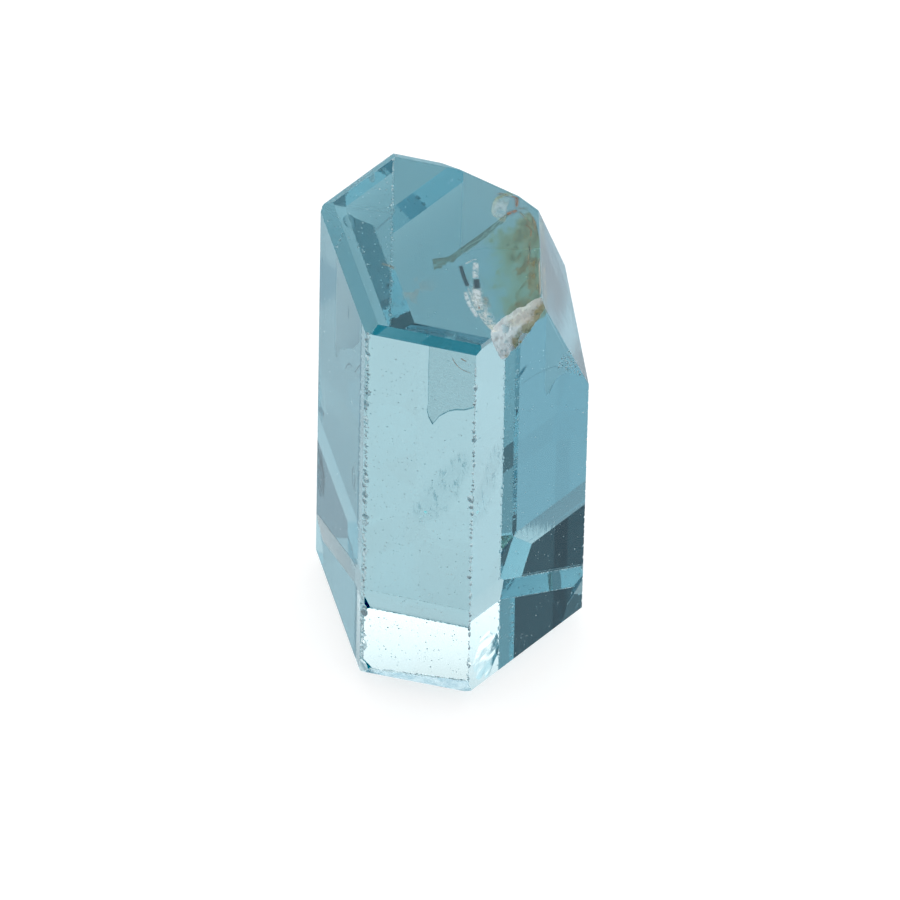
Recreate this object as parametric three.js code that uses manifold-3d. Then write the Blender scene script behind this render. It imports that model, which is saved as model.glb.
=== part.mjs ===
// Aquamarine crystal: one six-sided beryl prism that grew as a single piece.
// Millimetres, +Z up. It stands on its lower end face, which is z = 0, with the
// long crystal axis along Z and the origin under the middle of its bounding box.
// The wide front prism face looks along -Y.
import * as THREE from "three";
import { mergeVertices } from "three/addons/utils/BufferGeometryUtils.js";
import Module from "manifold-3d";

const wasm = await Module();
wasm.setup();

// ---- driving dimensions ----------------------------------------------------
const HEIGHT = 28.85; // lower end face to upper end face
const PYRAMID_SLOPE = 29.94; // degrees between a pyramid facet and the end face

// The six prism faces, 60 degrees apart. `azimuth` is the way a face looks in
// degrees round Z, `reach` its distance from the long axis. `foot` and `brow`
// are the heights at which its lower and upper pyramid facets begin.
const PRISM_FACES = [
  { azimuth: -150, reach: 5.82, foot: 0.98, brow: 28.43 },
  { azimuth: -90, reach: 6.6, foot: 1.0, brow: 28.54 },
  { azimuth: -30, reach: 6.08, foot: 1.06, brow: 28.75 },
  { azimuth: 30, reach: 7.25, foot: 0.98, brow: 28.75 },
  { azimuth: 90, reach: 6.6, foot: 0.73, brow: 28.6 },
  { azimuth: 150, reach: 7.51, foot: 0.9, brow: 28.6 },
];

// Narrow second-order prism facets that blunt the two left-hand upright edges.
const NARROW_FACETS = [
  { azimuth: -120, rise: 0, reach: 7.09 },
  { azimuth: 180, rise: 0, reach: 7.6 },
];

// Flat breaks. `rise` is how far the break looks up (+) or down (-), degrees.
const BREAKS = [
  { azimuth: 16.0, rise: 16.4, reach: 12.86 }, // steep one down the right-hand corner
  { azimuth: 73.4, rise: 20.0, reach: 15.15 }, // behind it, at the back edge of the top
  { azimuth: 60.5, rise: 17.7, reach: 14.2 }, // between the two
  { azimuth: -88.5, rise: -12.0, reach: 6.1 }, // low ledge along the foot of the front
];

// Shell-shaped chips. `at` is the middle of the hollow, `radii` its half-axes
// before it is turned `turn` degrees round Z.
const CHIPS = [
  // the long chip that took away the upper edge beside the right-hand break
  { at: [5.25, -4.3, 29.0], radii: [1.75, 1.3, 2.55], turn: 60 },
  { at: [5.95, -2.95, 28.9], radii: [1.0, 0.8, 1.3], turn: 60 },
  // the front right upright edge
  { at: [3.42, -6.82, 5.9], radii: [0.36, 0.36, 0.42], turn: 20 },
  { at: [3.45, -6.8, 3.6], radii: [0.42, 0.34, 0.62], turn: -15 },
  // the front left upright edge
  { at: [-2.86, -6.86, 3.3], radii: [0.4, 0.36, 0.75], turn: 10 },
  { at: [-2.8, -6.84, 9.2], radii: [0.26, 0.3, 0.4], turn: 0 },
  // the back left upright edge
  { at: [-5.05, 6.85, 8.0], radii: [0.4, 0.38, 0.6], turn: 35 },
  { at: [-5.0, 6.82, 19.5], radii: [0.36, 0.36, 0.8], turn: 30 },
  // the right end of the lower back edge
  { at: [3.5, 6.75, 0.35], radii: [1.3, 0.5, 0.45], turn: -8 },
];

const CUTTER = 60; // edge of the cube that cuts a flat face, well past the part
const CHIP_DETAIL = 6; // subdivisions of the sphere that cuts a chip

// ---- solids ----------------------------------------------------------------
const radians = THREE.MathUtils.degToRad;

function toManifold(geometry) {
  geometry.deleteAttribute("normal");
  geometry.deleteAttribute("uv");
  const merged = mergeVertices(geometry);
  const mesh = new wasm.Mesh({
    numProp: 3,
    vertProperties: new Float32Array(merged.attributes.position.array),
    triVerts: new Uint32Array(merged.index.array),
  });
  return new wasm.Manifold(mesh);
}

// Unit vector that looks `azimuth` round Z and `rise` above the horizontal.
function lookingTo(azimuth, rise) {
  const level = Math.cos(radians(rise));
  const x = level * Math.cos(radians(azimuth));
  const y = level * Math.sin(radians(azimuth));
  return new THREE.Vector3(x, y, Math.sin(radians(rise)));
}

// Takes away everything beyond the plane `normal . p = reach`.
function cutFlat(solid, normal, reach) {
  const cube = new THREE.BoxGeometry(CUTTER, CUTTER, CUTTER);
  const facing = new THREE.Quaternion().setFromUnitVectors(new THREE.Vector3(0, 0, 1), normal);
  cube.translate(0, 0, CUTTER / 2);
  cube.applyQuaternion(facing);
  cube.translate(normal.x * reach, normal.y * reach, normal.z * reach);
  return solid.subtract(toManifold(cube));
}

function cutChip(solid, chip) {
  const shell = new THREE.IcosahedronGeometry(1, CHIP_DETAIL);
  shell.scale(...chip.radii);
  shell.rotateZ(radians(chip.turn));
  shell.translate(...chip.at);
  return solid.subtract(toManifold(shell));
}

// ---- the crystal -----------------------------------------------------------
const rough = new THREE.BoxGeometry(CUTTER / 2, CUTTER / 2, HEIGHT);
rough.translate(0, 0, HEIGHT / 2);
let crystal = toManifold(rough);

for (const face of PRISM_FACES) {
  crystal = cutFlat(crystal, lookingTo(face.azimuth, 0), face.reach);
  // each pyramid facet passes through the line where its prism face stops
  for (const [rise, height] of [[90 - PYRAMID_SLOPE, face.brow], [PYRAMID_SLOPE - 90, face.foot]]) {
    const normal = lookingTo(face.azimuth, rise);
    const onEdge = lookingTo(face.azimuth, 0).multiplyScalar(face.reach).setZ(height);
    crystal = cutFlat(crystal, normal, normal.dot(onEdge));
  }
}
for (const flat of [...NARROW_FACETS, ...BREAKS]) {
  crystal = cutFlat(crystal, lookingTo(flat.azimuth, flat.rise), flat.reach);
}
for (const chip of CHIPS) {
  crystal = cutChip(crystal, chip);
}

function toGeometry(solid) {
  const mesh = solid.getMesh();
  const geometry = new THREE.BufferGeometry();
  geometry.setAttribute("position", new THREE.BufferAttribute(mesh.vertProperties, 3));
  geometry.setIndex(new THREE.BufferAttribute(mesh.triVerts, 1));
  geometry.computeVertexNormals();
  return geometry;
}

// Moves the shape sideways until the origin is under the middle of its box.
function centreOverOrigin(geometry) {
  geometry.computeBoundingBox();
  const middle = geometry.boundingBox.getCenter(new THREE.Vector3());
  return geometry.translate(-middle.x, -middle.y, 0);
}

const part = new THREE.Group();
part.name = "aquamarine_crystal_specimen";
const mesh = new THREE.Mesh(
  centreOverOrigin(toGeometry(crystal)),
  new THREE.MeshStandardMaterial({ color: 0x8fc6d2, roughness: 0.05, metalness: 0 }),
);
mesh.name = "aquamarine_crystal";
part.add(mesh);

export default part;
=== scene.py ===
import math
import random

import bmesh
import bpy
import numpy as np
from mathutils import Matrix, Vector, noise


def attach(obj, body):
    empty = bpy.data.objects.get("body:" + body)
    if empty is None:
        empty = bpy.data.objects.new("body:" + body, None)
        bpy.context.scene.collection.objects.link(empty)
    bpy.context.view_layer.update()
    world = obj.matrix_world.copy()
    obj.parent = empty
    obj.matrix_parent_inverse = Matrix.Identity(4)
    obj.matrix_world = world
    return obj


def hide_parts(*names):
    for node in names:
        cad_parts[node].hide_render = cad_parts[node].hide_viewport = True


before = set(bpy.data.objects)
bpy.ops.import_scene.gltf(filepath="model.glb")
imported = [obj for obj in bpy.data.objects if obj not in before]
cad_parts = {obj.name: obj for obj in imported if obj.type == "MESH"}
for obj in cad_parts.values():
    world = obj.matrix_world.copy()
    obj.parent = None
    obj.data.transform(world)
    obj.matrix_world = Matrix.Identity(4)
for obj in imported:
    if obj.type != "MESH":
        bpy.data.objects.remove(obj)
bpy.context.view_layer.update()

MM = 0.001
rng = random.Random(7)

# crystal
HEIGHT = 28.85
HALF_DEPTH = 6.6  # from the long axis to the front and back faces
# The upright edges in x and y, anticlockwise seen from above.
LEFT, FRONT_LEFT, FRONT_RIGHT = Vector((-7.62, 1.66)), Vector((-2.9, -6.54)), Vector((3.16, -6.6))
RIGHT, BACK_RIGHT, BACK_LEFT = Vector((7.65, 1.165)), Vector((4.51, 6.6)), Vector((-4.9, 6.6))
# The ways that the faces at the front look, and the one in which the right front face runs back.
LEFT_FRONT_OUT, FRONT_OUT = Vector((-0.866, -0.5, 0)), Vector((0, -1, 0))
RIGHT_FRONT_OUT, RIGHT_FRONT_ALONG = Vector((0.866, -0.5, 0)), Vector((0.5, 0.866, 0))
TOP_OUT = Vector((0, 0, 1))
# The flat breaks at the top: azimuth and rise in degrees, and distance from the origin.
BREAKS = [(16, 16.4, 12.86), (73.4, 20.0, 15.15), (60.5, 17.7, 14.2)]
LEDGE_RISE = -12.0
PYRAMID_RISE, BACK_PYRAMID_REACH = 60.06, 28.08

# beryl
BERYL_IOR = 1.577
ABSORPTION_COLOUR = (0.32, 0.62, 0.685, 1)
ABSORPTION_DENSITY = 80

# studio
FLOOR_GLOW_FRONT, FLOOR_GLOW_BACK = 0.72, 0.74
FLOOR_WHITE = 0.38
BLACK_LEVEL = (0.064, 0.045, 0.034)
LIGHT_BOUNCES = 32
# Azimuth and elevation from the crystal to the cards, and what each small card is seen from.
BACK_CARD_WAY, FRONT_CARD_WAY = (103.5, 48), (-104.1, 48.4)
EDGE_SPOT, FOOT_SPOT = Vector((6.0, -1.9, 9.2)), Vector((4.87, -4.62, 3.18))
CAMERA_PLACE, CAMERA_LOOK, CAMERA_ROLL = Vector((147.07, -606.94, 703.19)), (103.6, -47.859), -1.3
LENS, SENSOR_WIDTH = 680, 36


# ---- node helpers ------------------------------------------------------------
class Nodes:
    """A node tree that starts empty, with short ways to add to it."""

    def __init__(self, tree):
        self.tree = tree
        tree.nodes.clear()

    def add(self, kind, inputs=(), **settings):
        node = self.tree.nodes.new(kind)
        for name, value in settings.items():
            setattr(node, name, value)
        for name, value in dict(inputs).items():
            if isinstance(value, bpy.types.NodeSocket):
                self.tree.links.new(value, node.inputs[name])
            else:
                node.inputs[name].default_value = value
        return node

    def maths(self, operation, a, b=0.0):
        return self.add("ShaderNodeMath", {0: a, 1: b}, operation=operation).outputs[0]

    def ramp(self, value, low, high):
        """0 at low, 1 at high, smooth between them."""
        inputs = {"Value": value, "From Min": low, "From Max": high}
        return self.add("ShaderNodeMapRange", inputs, interpolation_type="SMOOTHSTEP").outputs["Result"]

    def mix(self, a, b, factor):
        return self.maths("ADD", self.maths("MULTIPLY", self.maths("SUBTRACT", b, a), factor), a)

    def colours(self, value, stops):
        node = self.add("ShaderNodeValToRGB", {"Fac": value})
        elements = node.color_ramp.elements
        while len(elements) < len(stops):
            elements.new(0.5)
        for element, (place, colour) in zip(elements, stops):
            element.position = place
            element.color = (*colour, 1)
        return node.outputs["Color"]

    def noise(self, coordinates, scale, detail=3.0, roughness=0.55, stretch=(1, 1, 1)):
        """Noise of `scale` lumps a millimetre, in the row frame, or a unit of a UV map."""
        inputs = {0: coordinates, 1: [scale * s for s in stretch]}
        place = self.add("ShaderNodeVectorMath", inputs, operation="MULTIPLY")
        inputs = {"Vector": place.outputs[0], "Scale": 1.0, "Detail": detail, "Roughness": roughness}
        return self.add("ShaderNodeTexNoise", inputs).outputs[0]

    def row_frame(self):
        """Coordinates in millimetres. Every piece's vertices are in the row frame."""
        place = self.add("ShaderNodeTexCoord").outputs["Object"]
        return self.add("ShaderNodeVectorMath", {0: place, "Scale": 1 / MM}, operation="SCALE").outputs[0]

    def along(self, vector, axis):
        node = self.add("ShaderNodeVectorMath", {0: vector, 1: axis}, operation="DOT_PRODUCT")
        return node.outputs["Value"]


def direction(azimuth, elevation):
    a, e = math.radians(azimuth), math.radians(elevation)
    return Vector((math.cos(a) * math.cos(e), math.sin(a) * math.cos(e), math.sin(e)))


def right_and_up(look):
    """The ways to the right and up for someone who looks this way."""
    right = look.cross(TOP_OUT).normalized()
    return right, right.cross(look)


def new_material(name):
    material = bpy.data.materials.new(name)
    material.use_nodes = True
    return material, Nodes(material.node_tree)


# ---- beryl -------------------------------------------------------------------
# What made each face of the crystal: growth, a flat break, a small chip, splintering,
# a dull parting, or the low ledge along the foot.
FACE, BREAK, CHIP, SPLINTER, DULL, LEDGE = range(6)
ROUGHNESS = {FACE: 0.0, BREAK: 0.01, CHIP: 0.3, SPLINTER: 0.25, DULL: 0.2, LEDGE: 0.25}
CLEARNESS = {FACE: 1.0, BREAK: 1.0, CHIP: 0.8, SPLINTER: 0.55, DULL: 0.74, LEDGE: 0.8}
UNEVENNESS = {FACE: 0.0, BREAK: 0.12, CHIP: 0.3, SPLINTER: 1.0, DULL: 0.06, LEDGE: 0.4}
# PAINTED_SHADE is painted shading: it darkens the low ledge's colour and tints it bluish, as if the ledge lay
# in shadow
PAINTED_SHADE = {FACE: 0.0, BREAK: 0.0, CHIP: 0.0, SPLINTER: 0.0, DULL: 0.0, LEDGE: 1.0}
KINDS = 6


def beryl_material():
    """Clear beryl. Its one absorption fills the whole crystal."""
    material, nodes = new_material("beryl")
    row = nodes.row_frame()
    facing = nodes.add("ShaderNodeNewGeometry").outputs["True Normal"]

    def of_face(name):
        return nodes.add("ShaderNodeAttribute", attribute_name=name).outputs["Fac"]

    # growth lines run along the crystal: only on upright faces, strongest on the left front one
    lines = nodes.noise(row, 5.0, 2, 0.5, (1, 1, 0.015))
    upright = nodes.ramp(nodes.maths("ABSOLUTE", nodes.along(facing, (0, 0, 1))), 0.3, 0.1)
    left_front = nodes.ramp(nodes.along(facing, LEFT_FRONT_OUT), 0.8, 0.95)
    lines = nodes.maths("MULTIPLY", lines, nodes.maths("MULTIPLY", upright, nodes.mix(0.05, 0.3, left_front)))
    lumps = nodes.maths("MULTIPLY", nodes.noise(row, 2.2, 5, 0.6), of_face("unevenness"))
    height = nodes.maths("ADD", nodes.maths("MULTIPLY", lines, 0.006), nodes.maths("MULTIPLY", lumps, 0.13))
    normal = nodes.add("ShaderNodeBump", {"Strength": 1.0, "Distance": MM, "Height": height}).outputs[0]
    # splintered faces are white, with a little brown dirt in their hollows
    grain = nodes.noise(row, 1.7, 5, 0.65)
    above = nodes.along(row, (-0.38, -0.657, 1))
    dirt = nodes.ramp(nodes.maths("ADD", above, nodes.maths("MULTIPLY", grain, -1.1)), 27.4, 27.05)
    dirt = nodes.maths("MAXIMUM", dirt, nodes.ramp(grain, 0.62, 0.7))
    splintered = nodes.maths("COMPARE", of_face("unevenness"), UNEVENNESS[SPLINTER])
    dirt = nodes.maths("MULTIPLY", dirt, splintered)
    colour = nodes.colours(dirt, [(0, (1, 1, 1)), (1, (0.55, 0.47, 0.29))])
    # painted shading: the low ledge's colour is darkened and tinted bluish, broken up by the grain, to stand
    # in for the shadow it lies in
    painted_shade = nodes.maths("MULTIPLY", of_face("painted_shade"), nodes.mix(0.7, 1.0, nodes.ramp(grain, 0.35, 0.65)))
    painted_shade = nodes.colours(painted_shade, [(0, (1, 1, 1)), (1, (0.3, 0.42, 0.5))])
    colour = nodes.add("ShaderNodeVectorMath", {0: colour, 1: painted_shade}, operation="MULTIPLY").outputs[0]
    shader = nodes.add("ShaderNodeBsdfPrincipled", {
        "Base Color": colour, "Transmission Weight": of_face("clearness"), "IOR": BERYL_IOR,
        "Roughness": of_face("roughness"), "Normal": normal})
    volume = nodes.add("ShaderNodeVolumeAbsorption", {
        "Color": ABSORPTION_COLOUR, "Density": ABSORPTION_DENSITY})
    nodes.add("ShaderNodeOutputMaterial", {"Surface": shader.outputs[0], "Volume": volume.outputs[0]})
    return material


def snap_to_planes(mesh, planes):
    """Puts each corner of a flat growth face exactly back in its plane, so that slivers don't tilt."""
    touching = {}
    for polygon in mesh.polygons:
        if polygon.material_index >= KINDS:
            for corner in polygon.vertices:
                touching.setdefault(corner, set()).add(polygon.material_index)
    for corner, marks in touching.items():
        normals = np.array([planes[mark][0] for mark in sorted(marks)])
        reaches = np.array([planes[mark][1] for mark in sorted(marks)])
        place = np.array(mesh.vertices[corner].co, float)
        move = np.linalg.lstsq(normals, reaches - normals @ place, rcond=1e-3)[0]
        if np.linalg.norm(move) < 0.02 * MM:
            mesh.vertices[corner].co = place + move


def finish_faces(mesh, planes):
    """Writes what each face is like, by what made it, and leaves one material."""
    marks = [0] * len(mesh.polygons)
    mesh.polygons.foreach_get("material_index", marks)
    kinds = [planes[mark][2] if mark >= KINDS else mark for mark in marks]
    # the painted shading of the ledge is written as a face attribute too
    for name, table in (("roughness", ROUGHNESS), ("clearness", CLEARNESS), ("unevenness", UNEVENNESS),
                        ("painted_shade", PAINTED_SHADE)):
        layer = mesh.attributes.new(name, "FLOAT", "FACE")
        layer.data.foreach_set("value", [table[kind] for kind in kinds])
    mesh.polygons.foreach_set("material_index", [0] * len(kinds))
    # the angle first: setting it makes every face smooth
    mesh.set_sharp_from_angle(angle=math.radians(28))
    mesh.polygons.foreach_set("use_smooth", [mark in (CHIP, BREAK, DULL) for mark in marks])
    mesh.materials.clear()
    mesh.materials.append(beryl_material())
    for left in [m for m in bpy.data.materials if m.name.startswith("mark_")]:
        bpy.data.materials.remove(left)


# where the stained fracture comes to the top, and where it ends beneath it
FRACTURE_START = [(0.93, 0.5), (0.72, -0.6), (1.1, -1.5), (1.6, -2.5), (2.15, -3.4), (2.9, -4.35),
                  (3.6, -4.95)]
FRACTURE_END = [(3.0, 4.5), (3.8, 3.6), (4.34, 2.4), (4.74, 1.0), (5.1, -0.2), (5.38, -1.3), (5.6, -2.3)]
FRACTURE_DEPTH = 1.5
# how far the refracted line of sight moves in x and y for each millimetre it goes down
SIGHT_SLOPE = (-0.106, 0.456)


def curve(points, count):
    """`count` points evenly along a smooth line through the given ones."""
    result = []
    for i in range(count):
        place = i / (count - 1) * (len(points) - 1)
        k = min(int(place), len(points) - 2)
        t = place - k
        p0, p1 = points[max(k - 1, 0)], points[k]
        p2, p3 = points[k + 1], points[min(k + 2, len(points) - 1)]
        result.append(tuple(0.5 * (2 * b + (c - a) * t + (2 * a - 5 * b + 4 * c - d) * t * t
                                   + (3 * b - a - 3 * c + d) * t ** 3) for a, b, c, d in zip(p0, p1, p2, p3)))
    return result


class Cutters:
    """Closed shapes to take out of the crystal, gathered in one mesh. No two may touch."""

    def __init__(self):
        self.corners, self.faces, self.kinds, self.balls = [], [], [], []
        self.unit = {}
        for detail in (1, 2, 3):
            ball = bmesh.new()
            bmesh.ops.create_icosphere(ball, subdivisions=detail, radius=1)
            corners = [v.co.copy() for v in ball.verts]
            self.unit[detail] = (corners, [[v.index for v in f.verts] for f in ball.faces])
            ball.free()

    def add(self, corners, faces, kind):
        start = len(self.corners)
        self.corners += corners
        self.faces += [[start + i for i in face] for face in faces]
        self.kinds += [kind] * len(faces)

    def blob(self, centre, radii, detail=2, ragged=0.25, kind=CHIP):
        """A lump that isn't made if it would touch another one."""
        reach = max(radii) * (1 + ragged)
        if any((centre - c).length < reach + r for c, r in self.balls):
            return False
        self.balls.append((centre, reach))
        angle = rng.uniform(0, math.tau)
        turn = Matrix.Rotation(angle, 3, Vector([rng.gauss(0, 1) for _ in range(3)]).normalized())
        corners, faces = self.unit[detail]
        seed = Vector([rng.uniform(-50, 50) for _ in range(3)])
        placed = []
        for corner in corners:
            swell = 1 + ragged * noise.noise(corner * 1.7 + seed)
            point = turn @ (corner * swell)
            placed.append(centre + Vector((point.x * radii[0], point.y * radii[1], point.z * radii[2])))
        self.add(placed, faces, kind)
        return True

    def object(self, name):
        mesh = bpy.data.meshes.new(name)
        mesh.from_pydata([c * MM for c in self.corners], [], self.faces)
        mesh.polygons.foreach_set("material_index", self.kinds)
        work = bmesh.new()
        work.from_mesh(mesh)
        bmesh.ops.recalc_face_normals(work, faces=work.faces)
        work.to_mesh(mesh)
        work.free()
        made = bpy.data.objects.new(name, mesh)
        bpy.context.scene.collection.objects.link(made)
        return made


def nibble_edge(cutters, edge, count, smallest, largest, low=0.5, high=HEIGHT - 0.3):
    """Small chips along an upright edge."""
    outward = edge.normalized()
    for _ in range(count):
        size = smallest * (largest / smallest) ** (rng.random() ** 1.3)
        depth = rng.uniform(0.2, 0.85) * size
        aside = Vector((-outward.y, outward.x)) * rng.gauss(0, 0.06)
        x, y = edge + outward * depth + aside
        cutters.blob(Vector((x, y, rng.uniform(low, high))), (size, size, size * rng.uniform(0.8, 1.6)))


def pit_face(cutters, start, end, count, low, high, smallest=0.025, largest=0.065):
    """Etch pits on an upright face between two upright edges."""
    along = end - start
    outward = Vector((along.y, -along.x)).normalized()
    for _ in range(count):
        size = smallest * (largest / smallest) ** (rng.random() ** 2)
        x, y = start + along * rng.uniform(0.03, 0.97) + outward * size * rng.uniform(0.2, 0.7)
        cutters.blob(Vector((x, y, rng.uniform(low, high))), (size, size, size), detail=1, ragged=0.1)


def nibble_ledge(cutters, count):
    """Chips along the upper border of the low ledge, which rises to the right."""
    for _ in range(count):
        size, x = rng.uniform(0.05, 0.16), rng.uniform(-2.8, 3.1)
        centre = Vector((x, -HALF_DEPTH - 0.3 * size, 1.7 + 0.123 * x))
        cutters.blob(centre, (size * rng.uniform(1, 2.5), size, size))


def nibble_foot(cutters, count, low_x, high_x, y, z, outward, largest):
    """Small chips along a lower edge that runs in x."""
    for _ in range(count):
        size = rng.uniform(0.3, 1) * largest
        place = Vector((rng.uniform(low_x, high_x), y, z)) + outward * size * rng.uniform(0.4, 0.8)
        cutters.blob(place, (size * rng.uniform(1, 2.2), size, size))


def etch_patch(cutters, corner, one_side, other_side):
    """Crowded pits over a triangle on the right front face."""
    for _ in range(420):
        a, b = rng.random(), rng.random()
        if a + b > 1:
            a, b = 1 - a, 1 - b
        size = rng.uniform(0.05, 0.14)
        centre = corner + a * one_side + b * other_side + RIGHT_FRONT_OUT * size * 0.4
        cutters.blob(centre, (size, size, size), detail=1)


def splinter_edge(cutters):
    """The long ragged chip along the upper edge of the right front face."""
    outward, along = RIGHT_FRONT_OUT, RIGHT_FRONT_ALONG
    face_reach, axis_out, axis_height = 6.04, 0.3, 29.0
    # place along the edge, how far it eats into the top, how far down the face
    profile = [(-2.95, 0.0, 0.3), (-2.6, 0.5, 1.3), (-2.1, 0.66, 2.5), (-1.1, 0.76, 2.3), (0.0, 0.62, 1.75),
               (0.8, 0.46, 1.2), (1.15, 0.36, 0.8), (1.4, 0.0, 0.2)]
    rings, spokes = 90, 56
    corners, faces = [], []
    for i in range(rings + 1):
        place = profile[0][0] + (profile[-1][0] - profile[0][0]) * i / rings
        for (a, in_a, down_a), (b, in_b, down_b) in zip(profile, profile[1:]):
            if a <= place <= b or (a, b) == (profile[-2][0], profile[-1][0]):
                part = min(max((place - a) / (b - a), 0), 1)
                inward, down = in_a + (in_b - in_a) * part, down_a + (down_b - down_a) * part
                if a <= place <= b:
                    break
        for j in range(spokes):
            angle = math.tau * j / spokes
            arm = outward * (inward + axis_out) * math.cos(angle) + Vector((0, 0, down * math.sin(angle)))
            centre = along * place + outward * (face_reach + axis_out) + Vector((0, 0, axis_height))
            point = centre + arm
            swell = 1 + 0.16 * noise.fractal(point * 1.6, 0.8, 2.2, 4) + 0.05 * noise.noise(point * 9)
            corners.append(centre + arm * swell)
    for i in range(rings):
        for j in range(spokes):
            k = (j + 1) % spokes
            faces.append([i * spokes + j, i * spokes + k, (i + 1) * spokes + k, (i + 1) * spokes + j])
    faces.append(list(range(spokes)))
    faces.append([rings * spokes + j for j in range(spokes)][::-1])
    cutters.add(corners, faces, SPLINTER)


def shell(cutters, front, back, kind):
    """A closed shape between two grids of points of the same size."""
    rows, across = len(front), len(front[0])
    corners = [point for grid in (front, back) for row in grid for point in row]
    layer = rows * across
    faces = []
    for i in range(rows - 1):
        for j in range(across - 1):
            k = i * across + j
            faces.append([k, k + across, k + across + 1, k + 1])
            faces.append([layer + k, layer + k + 1, layer + k + across + 1, layer + k + across])
    rim = [i * across for i in range(rows - 1)] + [(rows - 1) * across + j for j in range(across - 1)]
    rim += [i * across + across - 1 for i in range(rows - 1, 0, -1)] + list(range(across - 1, 0, -1))
    faces += [[a, b, layer + b, layer + a][::-1] for a, b in zip(rim, rim[1:] + rim[:1])]
    cutters.add(corners, faces, kind)


def conchoidal_scar(cutters, centre, outward, size, depth):
    """A shallow shell-shaped scar with a few wide ripples."""
    side = Vector((0, 0, 1)).cross(outward).normalized()
    up = outward.cross(side)
    steps = 44
    scar, lid = [], []
    for i in range(steps + 1):
        u = 2 * i / steps - 1
        scar.append([])
        lid.append([])
        for j in range(steps + 1):
            v = 2 * j / steps - 1
            fall = max(0.0, 1 - u * u - v * v)
            far = math.hypot(u - 0.5, v + 2.3)
            fall -= 0.35 * abs(noise.noise(Vector((u, v, 8)) * 2.2))
            ripple = 0.3 * math.sin(10 * far + 3 * noise.noise(Vector((u, v, 0)) * 1.8))
            ripple *= 0.6 + 1.2 * noise.noise(Vector((u, v, 5)) * 1.3)
            base = centre + side * size[0] * u + up * size[1] * v
            scar[-1].append(base - outward * depth * (1.25 * fall - 0.25 + ripple * max(0, min(1, 3 * fall))))
            lid[-1].append(base + outward * depth * 3)
    shell(cutters, scar, lid, BREAK)


# the dull parting on the back face, in x and z
PARTING_OUTLINE = [
    (-0.95, 29.5), (-0.93, 24.0), (-0.98, 20.0), (-0.96, 17.0), (-1.02, 16.4), (-0.9, 15.8), (-0.68, 15.35),
    (-0.5, 15.7), (-0.3, 16.1), (-0.12, 16.3), (0.2, 16.65), (0.6, 16.86), (1.1, 17.0), (1.64, 17.36),
    (2.6, 17.8), (3.9, 19.0), (4.1, 21.0), (3.7, 29.5)]


def slab(cutters, outline, deep, shallow, kind):
    """A prism that takes a thin slab off the back face. The outline is in x and z."""
    corners = [Vector((x, HALF_DEPTH - deep * min(1, max(0, (x + 1.0) / 4)) - shallow, z))
               for x, z in outline]
    corners += [Vector((x, 7.2, z)) for x, z in outline]
    count = len(outline)
    faces = [list(range(count)), list(range(count, 2 * count))[::-1]]
    faces += [[i, (i + 1) % count, count + (i + 1) % count, count + i] for i in range(count)]
    faces = [f[::-1] for f in faces]
    cutters.add(corners, faces, kind)


def cut(crystal, cutters, name):
    tool = cutters.object(name)
    modifier = crystal.modifiers.new(name, "BOOLEAN")
    modifier.operation = "DIFFERENCE"
    modifier.solver = "MANIFOLD"
    modifier.object = tool
    bpy.context.view_layer.update()
    result = bpy.data.meshes.new_from_object(crystal.evaluated_get(bpy.context.evaluated_depsgraph_get()))
    crystal.modifiers.clear()
    old, crystal.data = crystal.data, result
    bpy.data.meshes.remove(old)
    bpy.data.objects.remove(tool)


def face_kind(normal):
    """What made the CAD face that looks this way."""
    rise = math.degrees(math.asin(max(-1, min(1, normal.z))))
    if abs(rise) < 0.3 or abs(abs(rise) - PYRAMID_RISE) < 0.3 or abs(rise) > 89.7:
        return FACE
    if min(abs(rise - known) for _, known, _ in BREAKS) < 0.2:
        return BREAK
    if abs(rise - LEDGE_RISE) < 0.2:
        return LEDGE
    return CHIP


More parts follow.
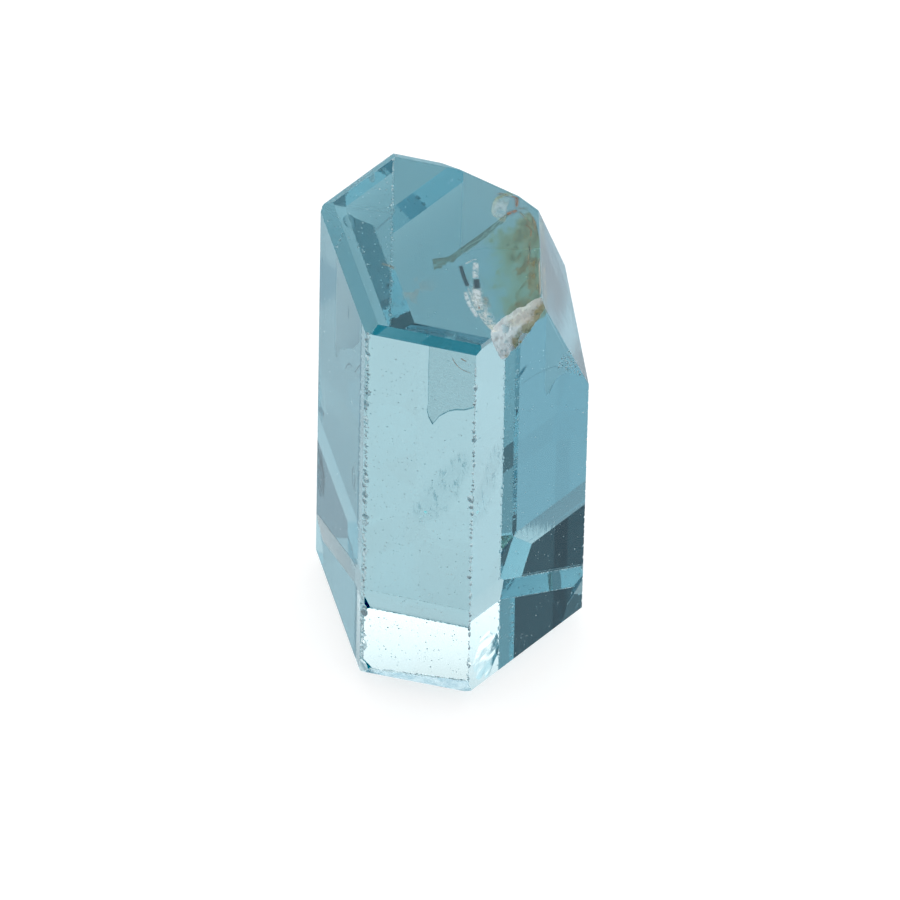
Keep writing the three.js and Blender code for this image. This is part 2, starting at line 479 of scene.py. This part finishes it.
def make_crystal():
    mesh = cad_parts["aquamarine_crystal"].data.copy()
    mesh.name = "crystal"
    work = bmesh.new()
    work.from_mesh(mesh)
    bmesh.ops.remove_doubles(work, verts=work.verts, dist=1e-7)
    # a growth face is marked by its plane, so that it can be found again after the cuts
    planes = {}
    for face in sorted(work.faces, key=lambda f: -f.calc_area()):
        face.normal_update()
        face.smooth = False
        face.material_index = face_kind(face.normal)
        if face.material_index in (FACE, BREAK, LEDGE):
            reach = face.normal.dot(face.verts[0].co)
            found = [mark for mark, (normal, far, kind) in planes.items()
                     if face.normal.dot(Vector(normal)) > 0.9999 and abs(far - reach) < 0.02 * MM]
            if not found and face.calc_area() > (0.5 * MM) ** 2:
                found = [KINDS + len(planes)]
                planes[found[0]] = (tuple(face.normal), reach, face.material_index)
            face.material_index = found[0] if found else CHIP
    mesh.materials.clear()
    for mark in range(KINDS + len(planes)):
        mesh.materials.append(bpy.data.materials.new(f"mark_{mark}"))
    work.to_mesh(mesh)
    work.free()
    for name in [a.name for a in mesh.attributes if a.name in ("custom_normal", "UVMap")]:
        mesh.attributes.remove(mesh.attributes[name])
    crystal = bpy.data.objects.new("crystal", mesh)
    bpy.context.scene.collection.objects.link(crystal)

    large = Cutters()
    splinter_edge(large)
    conchoidal_scar(large, Vector((3.85, -5.41, 3.1)), RIGHT_FRONT_OUT, (1.15, 2.1), 0.045)
    slab(large, PARTING_OUTLINE, 0.03, 0.1, DULL)
    cut(crystal, large, "large_cuts")

    for turn in range(4):
        small = Cutters()
        nibble_edge(small, FRONT_LEFT, 3, 0.3, 0.45, 5.9, 6.6)
        nibble_edge(small, FRONT_LEFT, 3, 0.3, 0.45, 1.2, 1.9)
        nibble_edge(small, FRONT_LEFT, 340, 0.06, 0.3)
        nibble_edge(small, FRONT_RIGHT, 320, 0.05, 0.27, high=HEIGHT - 1)
        nibble_edge(small, FRONT_LEFT, 40, 0.1, 0.3, 2.3, 4.2)
        nibble_edge(small, BACK_LEFT, 130, 0.05, 0.18)
        nibble_ledge(small, 110)
        nibble_foot(small, 90, -4.4, 4.0, 5.33, 0, Vector((0, 0.26, -0.966)), 0.07)
        nibble_foot(small, 50, -4.7, 4.3, HALF_DEPTH, 0.73, Vector((0, 0.87, -0.5)), 0.07)
        nibble_edge(small, LEFT, 24, 0.05, 0.12)
        nibble_edge(small, RIGHT, 24, 0.05, 0.14, high=19)
        nibble_edge(small, BACK_RIGHT, 24, 0.06, 0.2, high=22)
        if turn == 0:
            pit_face(small, FRONT_LEFT, FRONT_RIGHT, 700, 1.2, 28, 0.02, 0.06)
            pit_face(small, FRONT_RIGHT, RIGHT, 300, 1.2, 25, 0.02, 0.05)
            pit_face(small, BACK_RIGHT, BACK_LEFT, 160, 1.2, 27)
            pit_face(small, BACK_LEFT, LEFT, 90, 1.2, 27)
            pit_face(small, LEFT, FRONT_LEFT, 40, 1.2, 27)
            etch_patch(small, Vector((6.36, -1.05, 22.7)), Vector((1.0, 1.75, -2.3)),
                       Vector((0.52, 0.9, 1.1)))
        cut(crystal, small, "small_chips")
        snap_to_planes(crystal.data, planes)
    finish_faces(crystal.data, planes)
    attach(crystal, "root")
    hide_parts("aquamarine_crystal")
    return crystal


# ---- inside the crystal --------------------------------------------------------
def beneath(x, y, depth):
    """A point `depth` under the top that is seen, through the top, at x, y."""
    return Vector((x + SIGHT_SLOPE[0] * depth, y + SIGHT_SLOPE[1] * depth, HEIGHT - depth))


def keep_inside(point):
    """Moves a point that would stick out of the top, of its back rim or of the breaks beside it."""
    for azimuth, rise, reach in [(0, 90, HEIGHT), (90, PYRAMID_RISE, BACK_PYRAMID_REACH)] + BREAKS:
        outward = direction(azimuth, rise)
        point = point - outward * max(0, outward.dot(point) - reach + 0.04)
    return point


def sheet(name, rows, material):
    """A thin skin through rows of points, with a UV map along and across them."""
    corners = [keep_inside(point) * MM for row in rows for point in row]
    across = len(rows[0])
    faces = [[i * across + j, i * across + j + 1, (i + 1) * across + j + 1, (i + 1) * across + j]
             for i in range(len(rows) - 1) for j in range(across - 1)]
    mesh = bpy.data.meshes.new(name)
    mesh.from_pydata(corners, [], faces)
    layer = mesh.uv_layers.new(name="UVMap")
    for loop in mesh.loops:
        i, j = divmod(loop.vertex_index, across)
        layer.data[loop.index].uv = (i / (len(rows) - 1), j / (across - 1))
    mesh.materials.append(material)
    mesh.polygons.foreach_set("use_smooth", [True] * len(mesh.polygons))
    made = bpy.data.objects.new(name, mesh)
    bpy.context.scene.collection.objects.link(made)
    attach(made, "root")
    return made


def stain_material(name, colours, cover):
    """A colour filter as thin as a skin. cover(nodes, u, v, row) is how thick the stain is, 0 to 1."""
    material, nodes = new_material(name)
    split = nodes.add("ShaderNodeSeparateXYZ", {0: nodes.add("ShaderNodeUVMap", uv_map="UVMap").outputs[0]})
    amount = cover(nodes, split.outputs["X"], split.outputs["Y"], nodes.row_frame())
    shader = nodes.add("ShaderNodeBsdfPrincipled", {
        "Base Color": nodes.colours(amount, colours), "Transmission Weight": 1.0, "IOR": 1.0,
        "Roughness": 0.0, "Specular IOR Level": 0.0})
    nodes.add("ShaderNodeOutputMaterial", {"Surface": shader.outputs[0]})
    return material


def film_material(name, colour, cover, roughness=0.6):
    """A whitish or dark film, see-through where cover is 0."""
    material, nodes = new_material(name)
    split = nodes.add("ShaderNodeSeparateXYZ", {0: nodes.add("ShaderNodeUVMap", uv_map="UVMap").outputs[0]})
    amount = cover(nodes, split.outputs["X"], split.outputs["Y"], nodes.row_frame())
    shader = nodes.add("ShaderNodeBsdfPrincipled", {
        "Base Color": (*colour, 1), "Roughness": roughness, "Alpha": amount, "Specular IOR Level": 0.2})
    nodes.add("ShaderNodeOutputMaterial", {"Surface": shader.outputs[0]})
    return material


def make_stained_fracture():
    """A curved fracture that starts at the top and dips under the upper right corner."""
    start = curve(FRACTURE_START, 40)
    end = curve(FRACTURE_END, 40)
    rows = []
    for a, b in zip(start, end):
        row = []
        for j in range(33):
            t = j / 32
            x, y = a[0] + (b[0] - a[0]) * t, a[1] + (b[1] - a[1]) * t
            depth = 0.02 + FRACTURE_DEPTH * math.sin(t * math.pi / 2) ** 0.7
            depth += 0.12 * noise.noise(Vector((x, y, 0)) * 0.9)
            row.append(beneath(x, y, max(depth, 0.02)))
        rows.append(row)

    def cover(nodes, along, across, row):
        cloud = nodes.noise(row, 0.9, 6, 0.62, (1, 0.6, 1))
        edge = nodes.maths("MULTIPLY", nodes.ramp(across, 0.2, 0.75), nodes.mix(0.95, 0.7, along))
        low = nodes.maths("MULTIPLY", nodes.ramp(along, 0.6, 0.95), nodes.ramp(across, 0.1, 0.4))
        base = nodes.maths("ADD", edge, nodes.maths("MULTIPLY", low, 0.25))
        threads = nodes.noise(row, 3.2, 4, 0.7, (1, 0.35, 1))
        threads = nodes.maths("MULTIPLY", nodes.ramp(threads, 0.54, 0.64), nodes.ramp(across, 0.1, 0.45))
        swirl = nodes.maths("MULTIPLY", nodes.maths("SUBTRACT", cloud, 0.5), 2.0)
        total = nodes.maths("ADD", nodes.maths("ADD", base, swirl), nodes.maths("MULTIPLY", threads, 0.4))
        fade = nodes.ramp(nodes.mix(along, cloud, 0.4), 0.12, 0.34)
        fade = nodes.maths("MULTIPLY", nodes.ramp(across, 0.0, 0.06), fade)
        return nodes.maths("MULTIPLY", total, fade)

    colours = [(0.0, (1, 1, 1)), (0.25, (0.98, 0.96, 0.82)), (0.5, (1, 0.82, 0.46)),
               (0.75, (0.92, 0.6, 0.24)), (1.0, (0.5, 0.25, 0.09))]
    sheet("iron_stained_fracture", rows, stain_material("iron_stain", colours, cover))

    def crust(nodes, along, across, row):
        wisps = nodes.ramp(nodes.noise(row, 1.6, 6, 0.68, (1, 0.45, 1)), 0.44, 0.66)
        place = nodes.maths("ADD", nodes.ramp(across, 0.45, 0.95), nodes.ramp(along, 0.75, 1.0))
        stained = nodes.ramp(cover(nodes, along, across, row), 0.1, 0.9)
        return nodes.maths("MULTIPLY", nodes.maths("MULTIPLY", wisps, place),
                           nodes.maths("MULTIPLY", stained, 0.6))

    above = [[point + Vector((0, 0, 0.01)) for point in row] for row in rows]
    sheet("iron_crust", above, film_material("iron_crust", (0.42, 0.29, 0.09), crust))

    # where the fracture meets the top, a white film along it is a painted highlight: the glint of the crack
    # just under the top
    rim_rows = [row[:9] for row in rows[6:]]
    rim = [[point + Vector((0, 0, -0.03)) for point in row] for row in rim_rows]

    def rim_cover(nodes, along, across, row):
        grain = nodes.noise(row, 4.5, 5, 0.7)
        band = nodes.maths("MULTIPLY", nodes.ramp(across, 0.9, 0.3), nodes.ramp(across, 0.0, 0.1))
        band = nodes.maths("MULTIPLY", band, nodes.ramp(along, 0.25, 0.55))
        return nodes.maths("MULTIPLY", band, nodes.ramp(grain, 0.34, 0.6))

    sheet("fracture_rim", rim, film_material("splintered_white", (0.95, 0.95, 0.92), rim_cover))


def make_brown_fracture():
    """A narrow upright fracture, filled with brown iron oxide, that runs to the back right."""
    line = curve([(-0.85, -0.62), (-0.5, -0.42), (-0.05, -0.2), (0.45, 0.62), (1.2, 1.88), (1.85, 3.05),
                  (2.3, 3.9)], 50)
    rows = []
    for i, (x, y) in enumerate(line):
        part = i / (len(line) - 1)
        drop = 1.7 if part < 0.22 else 1.0
        drop = drop * (1 - 0.75 * max(0, part - 0.8) / 0.2) * min(1, 0.35 + part * 12)
        drop *= 1 + 0.6 * noise.noise(Vector((part * 14, 0, 3)))
        rows.append([Vector((x + 0.01 * j, y - 0.01 * j, HEIGHT - 0.03 - drop * j / 8)) for j in range(9)])

    def cover(nodes, along, across, row):
        grain = nodes.noise(row, 2.4, 6, 0.65, (1, 1, 2.4))
        edges = nodes.maths("MULTIPLY", nodes.ramp(across, 1.0, 0.82), nodes.ramp(across, 0.0, 0.06))
        dark = nodes.maths("MULTIPLY", nodes.ramp(across, 0.3, 0.1), 0.25)
        amount = nodes.maths("ADD", nodes.mix(0.32, 0.85, nodes.ramp(grain, 0.36, 0.6)), dark)
        return nodes.maths("MULTIPLY", amount, edges)

    colours = [(0.0, (1, 1, 1)), (0.35, (0.85, 0.78, 0.6)), (0.62, (0.55, 0.4, 0.25)),
               (0.85, (0.3, 0.19, 0.12))]
    sheet("brown_fracture", rows, stain_material("brown_oxide", colours, cover))


def make_pale_fracture():
    """A small half-round fracture beside the end of the brown one."""
    middle = Vector((2.1, 4.15))
    rows = []
    for i in range(25):
        angle = math.radians(84 + 200 * i / 24)
        row = []
        for j in range(15):
            reach = 0.92 * (1 + 0.12 * noise.noise(Vector((angle * 2, 0, 9)))) * j / 14
            x, y = middle.x + reach * math.cos(angle) * 0.95, middle.y + reach * math.sin(angle) * 1.25
            row.append(beneath(x, y, 0.06 + 0.35 * (1 - j / 14)))
        rows.append(row)

    def cover(nodes, along, across, row):
        rim = nodes.maths("MULTIPLY", nodes.ramp(across, 0.62, 0.86), nodes.ramp(across, 1.0, 0.93))
        cloud = nodes.noise(row, 1.6, 6, 0.65)
        rim = nodes.maths("MULTIPLY", rim, nodes.mix(0.25, 1.0, nodes.ramp(along, 0.55, 0.25)))
        rim = nodes.maths("MULTIPLY", rim, 0.6)
        return nodes.maths("ADD", rim, nodes.maths("MULTIPLY", nodes.ramp(cloud, 0.5, 0.75), 0.55))

    colours = [(0.0, (1, 1, 1)), (0.35, (0.98, 0.92, 0.7)), (0.7, (0.9, 0.66, 0.3)), (1.0, (0.62, 0.28, 0.1))]
    sheet("pale_fracture", rows, stain_material("yellow_stain", colours, cover))

    def milk(nodes, along, across, row):
        cloud = nodes.ramp(nodes.noise(row, 1.1, 3), 0.2, 0.8)
        return nodes.maths("MULTIPLY", nodes.maths("MULTIPLY", nodes.ramp(across, 1.0, 0.9), cloud), 0.6)

    lower = [[point + Vector((0, 0, -0.04)) for point in row] for row in rows]
    sheet("pale_fracture_film", lower, film_material("milky_film", (0.9, 0.95, 0.95), milk))


def ribbons(name, outward, lines, material):
    """Flat strips just under a face. Each line is its width, then the points it runs through."""
    corners, faces, uvs = [], [], []
    for width, *points in lines:
        count = 8 * len(points)
        path = [Vector(p) for p in zip(*[curve_of(axis, count) for axis in zip(*points)])]
        for i, point in enumerate(path):
            ahead = path[min(i + 1, count - 1)] - path[max(i - 1, 0)]
            side = outward.cross(ahead).normalized() * width / 2
            for j in (-1, 0, 1):
                corners.append((point + side * j - outward * 0.03) * MM)
                uvs.append((i / (count - 1), (j + 1) / 2))
            if i:
                k = len(corners) - 6
                faces += [[k, k + 1, k + 4, k + 3], [k + 1, k + 2, k + 5, k + 4]]
    mesh = bpy.data.meshes.new(name)
    mesh.from_pydata(corners, [], faces)
    layer = mesh.uv_layers.new(name="UVMap")
    for loop in mesh.loops:
        layer.data[loop.index].uv = uvs[loop.vertex_index]
    mesh.materials.append(material)
    made = bpy.data.objects.new(name, mesh)
    bpy.context.scene.collection.objects.link(made)
    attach(made, "root")


def curve_of(values, count):
    """One coordinate of a smooth line through the given values."""
    return [y for _, y in curve([(i, value) for i, value in enumerate(values)], count)]


def worn(strength, ends=0.15, sides=0.5, fray=0.5):
    """How much of a ribbon is there: less towards its ends and sides, and broken up."""
    def cover(nodes, along, across, row):
        ends_in = nodes.maths("MULTIPLY", nodes.ramp(along, 0.0, ends), nodes.ramp(along, 1.0, 1 - ends))
        sides_in = nodes.maths("MULTIPLY", nodes.ramp(across, 0.0, sides), nodes.ramp(across, 1.0, 1 - sides))
        grain = nodes.ramp(nodes.noise(row, 4.0, 4, 0.7), 0.1 + 0.4 * fray, 0.3 + 0.4 * fray)
        inside = nodes.maths("MULTIPLY", ends_in, sides_in)
        return nodes.maths("MULTIPLY", inside, nodes.maths("MULTIPLY", grain, strength))
    return cover


def on_top(*points):
    return [(x, y, HEIGHT) for x, y in points]


def make_marks():
    """Scratches, rust and stains just under the faces, and light and dark strips along the fracture that are
    painted reflections.
    """
    scratch = film_material("scratch", (0.1, 0.17, 0.21), worn(0.75, fray=0.3))
    ribbons("scratches_left_front", LEFT_FRONT_OUT, [
        (0.4, (-4.78, -3.45, 26.99), (-4.72, -3.56, 26.56), (-4.76, -3.49, 25.91)),
        (0.16, (-4.98, -3.10, 21.35), (-4.79, -3.43, 22.15), (-4.50, -3.94, 22.82), (-4.19, -4.47, 23.18)),
        (0.2, (-4.19, -4.47, 23.18), (-3.99, -4.82, 23.29), (-3.70, -5.32, 24.30), (-3.41, -5.82, 25.08)),
        (0.3, (-4.05, -4.71, 15.64), (-3.84, -5.08, 15.13), (-3.92, -4.95, 13.90)),
        (0.26, (-4.05, -4.71, 15.5), (-4.1, -4.62, 14.6), (-3.94, -4.92, 13.80)),
    ], scratch)
    ribbons("scratches_right_front", RIGHT_FRONT_OUT, [
        (0.07, (4.91, -3.58, 23.50), (5.49, -2.57, 23.40), (6.16, -1.42, 23.02), (6.39, -1.01, 22.73)),
    ], scratch)
    ribbons("lens", RIGHT_FRONT_OUT, [(0.4, (4.78, -3.8, 24.1), (4.98, -3.46, 24.44), (5.2, -3.08, 24.8))],
            film_material("lens", (0.03, 0.2, 0.29), worn(1.0, 0.45, 0.3, 0)))
    ribbons("scratches_top", TOP_OUT, [
        (0.09, *on_top((-4.52, 0.18), (-4.15, 1.0), (-3.74, 1.92))),
        (0.12, *on_top((-1.9, 0.2), (-1.78, 0.16), (-1.6, 0.2))),
    ], scratch)

    rust = film_material("rust", (0.42, 0.17, 0.05), worn(0.8, 0.2, 0.5, 0.4))
    ribbons("rust_top", TOP_OUT, [
        (0.4, *on_top((2.34, 4.98), (2.51, 4.72), (2.59, 4.2))),
        (0.5, *on_top((2.2, 3.62), (2.45, 3.85), (2.72, 4.12))),
        (0.24, *on_top((2.1, 5.0), (2.35, 4.98), (2.6, 4.86))),
        (0.14, *on_top((2.44, -3.32), (2.49, -3.40), (2.54, -3.5))),
        (0.12, *on_top((3.3, 3.2), (3.75, 2.9), (3.9, 2.3))),
    ], rust)
    ribbons("rust_front", FRONT_OUT, [
        (0.09, (1.82, -6.6, 28.05), (2.00, -6.6, 27.62), (2.34, -6.6, 27.24), (2.95, -6.6, 27.02)),
        (0.16, (2.3, -6.6, 28.1), (2.5, -6.6, 27.96), (2.66, -6.6, 27.93)),
    ], rust)
    ochre = film_material("ochre", (0.36, 0.28, 0.16), worn(0.6, 0.3, 0.5, 0.45))
    ribbons("ochre_top", TOP_OUT, [
        (0.5, *on_top((2.55, -2.5), (2.78, -2.9), (3.02, -3.3))),
        (0.3, *on_top((-3.5, -1.66), (-3.02, -1.71), (-2.5, -1.9))),
        (0.26, *on_top((2.5, 4.2), (2.90, 4.26), (3.28, 4.4))),
        (0.3, *on_top((1.25, 4.9), (1.65, 5.04), (2.15, 4.9))),
        (0.3, *on_top((2.7, 4.1), (3.2, 3.7), (3.7, 3.1))),
        (0.36, *on_top((3.5, 4.0), (3.85, 3.4), (4.05, 2.6))),
        (0.3, *on_top((3.9, 2.3), (4.1, 1.2), (4.25, 0.2))),
    ], ochre)
    ribbons("brown_streak", TOP_OUT, [(0.13, *on_top((3.98, 1.75), (4.08, 1.4), (4.25, 0.95)))],
            film_material("brown_streak", (0.13, 0.1, 0.08), worn(0.8, 0.3, 0.5, 0.1)))
    edge = film_material("worn_edge", (0.7, 0.64, 0.58), worn(0.75, 0.25, 0.4, 0.2))
    ribbons("worn_edge", TOP_OUT, [
        (0.14, *on_top((4.68, 1.1), (4.96, 0.1), (5.26, -0.93), (5.5, -1.85))),
    ], edge)
    teal = film_material("teal_streak", (0.06, 0.25, 0.32), worn(0.8, 0.4, 0.5, 0.1))
    ribbons("teal_streak", direction(*BREAKS[0][:2]), [
        (0.17, (4.78, 2.97, 27.1), (4.97, 2.7, 26.65), (5.16, 2.49, 26.1)),
    ], teal)

    rows = [[Vector((x / 10, y / 10, HEIGHT - 0.5 - 0.2 * noise.noise(Vector((x, y, 0)) / 9)))
             for y in range(-48, -9, 3)] for x in range(-34, 7, 3)]

    def clouds(nodes, along, across, row):
        around = [nodes.ramp(side, end, 0.5) for side in (along, across) for end in (0, 1)]
        inside = nodes.maths("MULTIPLY", nodes.maths("MINIMUM", *around[:2]),
                             nodes.maths("MINIMUM", *around[2:]))
        patches = nodes.ramp(nodes.noise(row, 0.8, 4, 0.6), 0.49, 0.56)
        return nodes.maths("MULTIPLY", nodes.maths("MULTIPLY", patches, inside), 0.45)

    sheet("clouds", rows, film_material("clouds", (0.42, 0.46, 0.4), clouds))

    # light and dark strips along the fracture's trace on the top: painted reflections, the bright and dark
    # surroundings mirrored by the crack wall just under the top
    light = film_material("light_flake", (0.82, 0.88, 0.9), worn(0.85, 0.15, 0.3, 0.6))
    ribbons("painted_bright_reflections", TOP_OUT, [
        (0.42, *on_top((1.5, -0.22), (1.62, -0.8), (1.78, -1.42))),
        (0.62, *on_top((2.0, -2.05), (2.2, -2.7), (2.52, -3.35))),
        (0.32, *on_top((1.45, -2.45), (1.9, -3.25), (2.62, -4.15))),
        (0.1, *on_top((0.95, -0.55), (1.3, -0.1), (1.5, -0.05))),
    ], light)
    dark = film_material("dark_flake", (0.05, 0.08, 0.1), worn(0.9, 0.08, 0.25, 0.1))
    ribbons("painted_dark_reflections", TOP_OUT, [
        (0.3, *on_top((0.74, -0.68), (1.12, -1.4), (1.52, -2.08))),
        (0.46, *on_top((1.83, -1.42), (1.94, -1.78), (2.05, -2.1))),
    ], dark)


def make_veil():
    """Feathery fractures in the middle of the crystal, and a small glowing ball in them, a painted glint."""
    rows = []
    for i in range(31):
        part = i / 30
        middle = Vector((-0.5 + 2.9 * part, -2.2 - 0.5 * part, 11.6 + 6.2 * part + 1.2 * part ** 3))
        reach = 1.2 * math.sin(math.pi * min(1, 0.1 + 0.9 * part)) ** 0.6
        wave = 0.3 * math.sin(9 * part)
        rows.append([middle + Vector((0.85 * v, 0.35 * v * v + wave * v, -0.5 * v)) * reach
                     for v in [j / 8 - 1 for j in range(17)]])

    def cover(nodes, along, across, row):
        feathers = nodes.noise(row, 1.1, 5, 0.7, (3.2, 1, 0.9))
        streaks = nodes.maths("MULTIPLY", nodes.ramp(feathers, 0.52, 0.64), 0.45)
        sides = nodes.maths("MULTIPLY", nodes.ramp(across, 0.0, 0.35), nodes.ramp(across, 1.0, 0.65))
        ends = nodes.maths("MULTIPLY", nodes.ramp(along, 0, 0.2), nodes.ramp(along, 1, 0.85))
        inside = nodes.maths("MULTIPLY", sides, ends)
        return nodes.maths("MULTIPLY", nodes.maths("ADD", streaks, 0.1), inside)

    sheet("veil", rows, film_material("veil", (0.5, 0.68, 0.74), cover))
    # painted glint: a tiny ball that glows cyan to white, standing in for light caught in the fracture
    bpy.ops.mesh.primitive_ico_sphere_add(
        subdivisions=2, radius=0.1 * MM, location=Vector((0.05, -2.22, 12.83)) * MM)
    spark = bpy.context.object
    spark.name = "spark"
    material, nodes = new_material("spark")
    glint = nodes.noise(nodes.row_frame(), 9.0, 2)
    shader = nodes.add("ShaderNodeBsdfPrincipled", {
        "Base Color": nodes.colours(glint, [(0.4, (0.35, 0.9, 0.95)), (0.6, (0.9, 1, 1))]), "Roughness": 0.3,
        "Emission Color": (0.5, 1, 1, 1), "Emission Strength": 0.3})
    nodes.add("ShaderNodeOutputMaterial", {"Surface": shader.outputs[0]})
    spark.data.materials.append(material)
    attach(spark, "root")


# ---- studio ------------------------------------------------------------------
def make_floor():
    bpy.ops.mesh.primitive_plane_add(size=6, location=(0, 0, -0.00002))
    floor = bpy.context.object
    floor.name = "floor"
    material, nodes = new_material("floor_white")
    back = nodes.ramp(nodes.along(nodes.row_frame(), (0, 1, 0)), -2.0, 22.0)
    glow = nodes.mix(FLOOR_GLOW_FRONT, FLOOR_GLOW_BACK, back)
    shader = nodes.add("ShaderNodeBsdfPrincipled", {
        "Base Color": (FLOOR_WHITE, FLOOR_WHITE, FLOOR_WHITE, 1), "Roughness": 1.0, "Specular IOR Level": 0.0,
        "Emission Color": (1, 1, 1, 1), "Emission Strength": glow})
    nodes.add("ShaderNodeOutputMaterial", {"Surface": shader.outputs[0]})
    floor.data.materials.append(material)
    floor.visible_glossy = False


def make_world():
    """A white tent: brighter walls, a dim low front, and a dark gap where the camera looks in."""
    world = bpy.data.worlds.new("studio")
    bpy.context.scene.world = world
    world.use_nodes = True
    nodes = Nodes(world.node_tree)
    place = nodes.add("ShaderNodeTexCoord").outputs["Generated"]
    height = nodes.along(place, (0, 0, 1))

    def lobe(azimuth, elevation, inner, outer):
        """1 within `inner` degrees of a direction, 0 past `outer`."""
        near = nodes.along(place, direction(azimuth, elevation))
        return nodes.ramp(near, math.cos(math.radians(outer)), math.cos(math.radians(inner)))

    front = nodes.ramp(nodes.along(place, (0, -1, 0)), -0.2, 0.2)
    level = nodes.mix(0.85, 1.4, nodes.ramp(height, 0.72, 0.6))
    low = nodes.mix(0.95, 0.56, front)
    level = nodes.mix(level, low, nodes.ramp(height, 0.27, 0.18))
    gap = nodes.maths("MULTIPLY", lobe(-28, 8, 22, 40), nodes.ramp(height, 0.35, 0.22))
    level = nodes.mix(level, 0.15, gap)
    level = nodes.mix(level, 1.6, lobe(103, 50, 12, 24))
    level = nodes.mix(level, 1.15, lobe(-70, 4.5, 5, 11))
    level = nodes.mix(level, 0.0, lobe(-95, 51, 17, 28))
    # what the faces mirror instead of the floor: polarised away, but for a bluish sheen from behind
    below = nodes.ramp(height, 0.0, -0.02)
    behind = nodes.ramp(nodes.along(place, direction(50, 0)), -0.25, 0.25)
    level = nodes.mix(level, nodes.mix(0.03, 1.08, behind), below)
    low_left = nodes.maths("MULTIPLY", lobe(-120, 0, 20, 30), nodes.ramp(height, 0.2, 0.1))
    blue = nodes.maths("MAXIMUM", below, low_left)
    colour = nodes.colours(blue, [(0, (1, 1, 1)), (1, (0.82, 0.93, 1))])
    background = nodes.add("ShaderNodeBackground", {"Color": colour, "Strength": level})
    nodes.add("ShaderNodeOutputWorld", {"Surface": background.outputs[0]})


def make_card(name, width, height, colour, glow):
    """A glowing card in the XY plane, seen only through the crystal. glow(nodes, y) is how bright it is."""
    bpy.ops.mesh.primitive_plane_add(size=1)
    card = bpy.context.object
    card.name = name
    card.scale = (width * MM, height * MM, 1)
    material, nodes = new_material(name + "_glow")
    strength = glow(nodes, nodes.along(nodes.add("ShaderNodeTexCoord").outputs["Object"], (0, 1, 0)))
    shader = nodes.add("ShaderNodeEmission", {"Color": (*colour, 1), "Strength": strength})
    nodes.add("ShaderNodeOutputMaterial", {"Surface": shader.outputs[0]})
    card.data.materials.append(material)
    card.visible_camera = card.visible_diffuse = card.visible_glossy = card.visible_shadow = False
    return card


def hang(card, centre, look, width, height):
    """Puts a card at `centre`, facing someone who looks along `look`."""
    right, up = right_and_up(look)
    turn = Matrix((right, up, -look)).transposed().to_4x4()
    size = Matrix.Diagonal((width * MM, height * MM, 1, 1))
    card.matrix_world = Matrix.Translation(centre * MM) @ turn @ size


def make_cards():
    """A bright card behind, a blue one beside the left front face, and two small ones in front."""
    width, height, distance, above, fading = 70, 40, 120, 6, 9

    def dim_at_the_top(nodes, y):
        inputs = {"Value": y, "From Min": 0.5 - fading / height, "From Max": 0.5,
                  "To Min": 3.0, "To Max": 1.2}
        return nodes.add("ShaderNodeMapRange", inputs).outputs["Result"]

    back = make_card("card", width, height, (1, 0.84, 0.8), dim_at_the_top)
    look = direction(*BACK_CARD_WAY)
    foot_of_back_face = Vector((0, HALF_DEPTH, 3.2))
    up = right_and_up(look)[1]
    hang(back, foot_of_back_face + look * distance - up * (height / 2 - above), look, width, height)

    blue = make_card("blue_card", 16, 26, (0.57, 0.77, 0.86), lambda nodes, y: 0.92)
    left_front_along = Vector((0.5, -0.866, 0))
    blue.location = (LEFT_FRONT_OUT * 14.1 + left_front_along * 3 + Vector((0, 0, 0.2))) * MM
    blue.rotation_euler.z = math.radians(30)

    look = direction(*FRONT_CARD_WAY)
    for name, width, height, colour, glow, seen_from in (
            ("front_card", 4, 7, (1, 1, 1), 1.3, EDGE_SPOT),
            ("foot_card", 5.3, 5.3, (1, 0.9, 0.93), 0.7, FOOT_SPOT)):
        front = make_card(name, width, height, colour, lambda nodes, y, glow=glow: glow)
        hang(front, seen_from + look * 40, look, width, height)


def make_camera():
    data = bpy.data.cameras.new("camera")
    data.lens = LENS
    data.sensor_width = SENSOR_WIDTH
    data.clip_start, data.clip_end = 0.01, 10
    camera = bpy.data.objects.new("camera", data)
    bpy.context.scene.collection.objects.link(camera)
    look = direction(*CAMERA_LOOK)
    right, up = right_and_up(look)
    roll = Matrix.Rotation(math.radians(CAMERA_ROLL), 3, look)
    camera.location = CAMERA_PLACE * MM
    camera.rotation_mode = "QUATERNION"
    camera.rotation_quaternion = Matrix((roll @ right, roll @ up, -look)).transposed().to_quaternion()
    bpy.context.scene.camera = camera


make_crystal()
make_stained_fracture()
make_brown_fracture()
make_pale_fracture()
make_marks()
make_veil()
make_floor()
make_world()
make_cards()
make_camera()

scene = bpy.context.scene
scene.view_settings.view_transform = "Standard"
scene.view_settings.use_curve_mapping = True
scene.view_settings.curve_mapping.black_level = BLACK_LEVEL
scene.cycles.max_bounces = LIGHT_BOUNCES
scene.cycles.transmission_bounces = LIGHT_BOUNCES
scene.cycles.transparent_max_bounces = LIGHT_BOUNCES
scene.cycles.glossy_bounces = 16
scene.cycles.diffuse_bounces = 6
scene.cycles.sample_clamp_indirect = 0
scene.cycles.blur_glossy = 0.1
